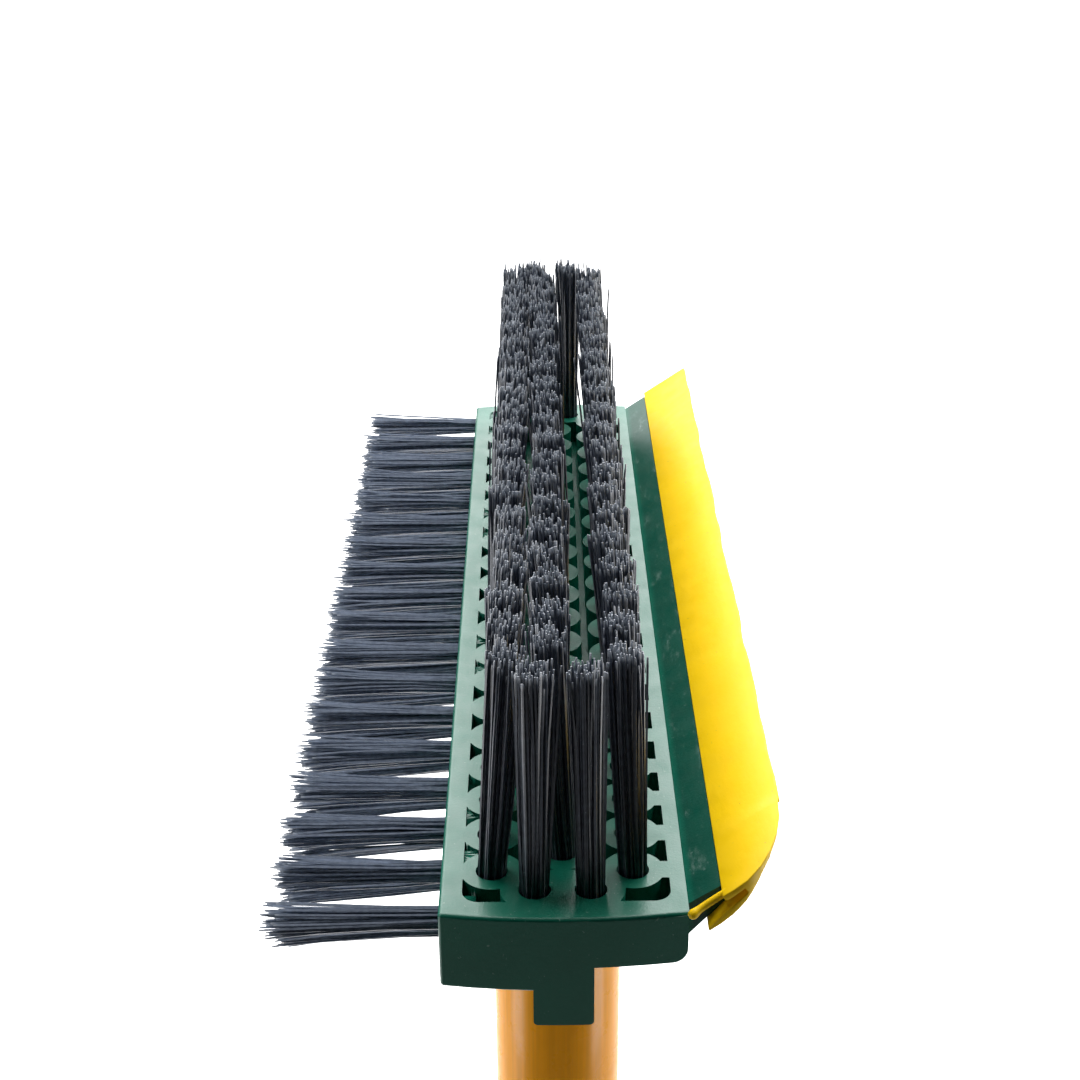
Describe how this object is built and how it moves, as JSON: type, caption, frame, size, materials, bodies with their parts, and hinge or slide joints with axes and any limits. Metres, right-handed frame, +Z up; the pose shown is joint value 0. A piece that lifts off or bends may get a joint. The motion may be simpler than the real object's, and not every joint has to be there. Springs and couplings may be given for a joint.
{
  "type": "snow broom",
  "caption": "Snow broom: a long green head with upright and side bristles and a yellow squeegee edge, pivoting on a telescoping pole with a foam grip.",
  "frame": {"origin": "centre of the flat butt face of the grip's end cap", "axes": "+Z up the pole to the top bristles, Y along the head, +X towards the squeegee"},
  "size_m": [0.1037, 0.28, 0.8982],
  "materials": {
    "green_plastic": "semi-gloss moulded",
    "black_plastic": "satin moulded",
    "white_plastic": "satin",
    "button_plastic": "semi-gloss moulded",
    "steel": "zinc plated",
    "foam": "closed-cell foam",
    "bare_tube": "satin anodised",
    "amber_tube": "amber lacquer over aluminium",
    "bristle": "charcoal filaments",
    "yellow_rubber": "satin rubber"
  },
  "bodies": {
    "lower_handle": {"end_cap": "black_plastic", "cap_pins": "steel", "foam_grip": "foam", "inner_tube": "bare_tube", "guide_bush": "black_plastic"},
    "upper_pole": {"outer_tube": "amber_tube", "lock_seat": "black_plastic", "clamp_ring": "white_plastic", "neck": "green_plastic", "neck_rivets": "steel"},
    "collar": {"twist_collar": "green_plastic"},
    "head": {"head_block": "green_plastic", "pivot_sleeve": "steel", "pivot_spring": "steel", "top_anchors": "steel", "side_anchors": "steel", "squeegee": "yellow_rubber", "top_tufts_left": "bristle", "top_tufts_centre": "bristle", "top_tufts_right": "bristle", "top_tufts_near_end": "bristle", "top_tufts_far_end": "bristle", "side_tufts_upper": "bristle", "side_tufts_lower": "bristle"},
    "button": {"pivot_button": "button_plastic", "pivot_screw": "steel"}
  },
  "joints": [
    {"name": "telescope", "type": "slide", "parent": "lower_handle", "child": "upper_pole", "axis": [0, 0, 1], "range_m": [0, 0.35]},
    {"name": "collar_twist", "type": "hinge", "parent": "upper_pole", "child": "collar", "pos_m": [0, 0, 0.224], "axis": [0, 0, 1], "range_deg": [0, 90]},
    {"name": "head_pivot", "type": "hinge", "parent": "upper_pole", "child": "head", "pos_m": [0, 0, 0.8], "axis": [1, 0, 0], "range_deg": [0, 90]},
    {"name": "button_press", "type": "slide", "parent": "head", "child": "button", "axis": [-1, 0, 0], "range_m": [0, 0.004], "stiffness_N_per_m": 700, "springref_m": -0.002, "deforming": ["pivot_spring"]}
  ]
}
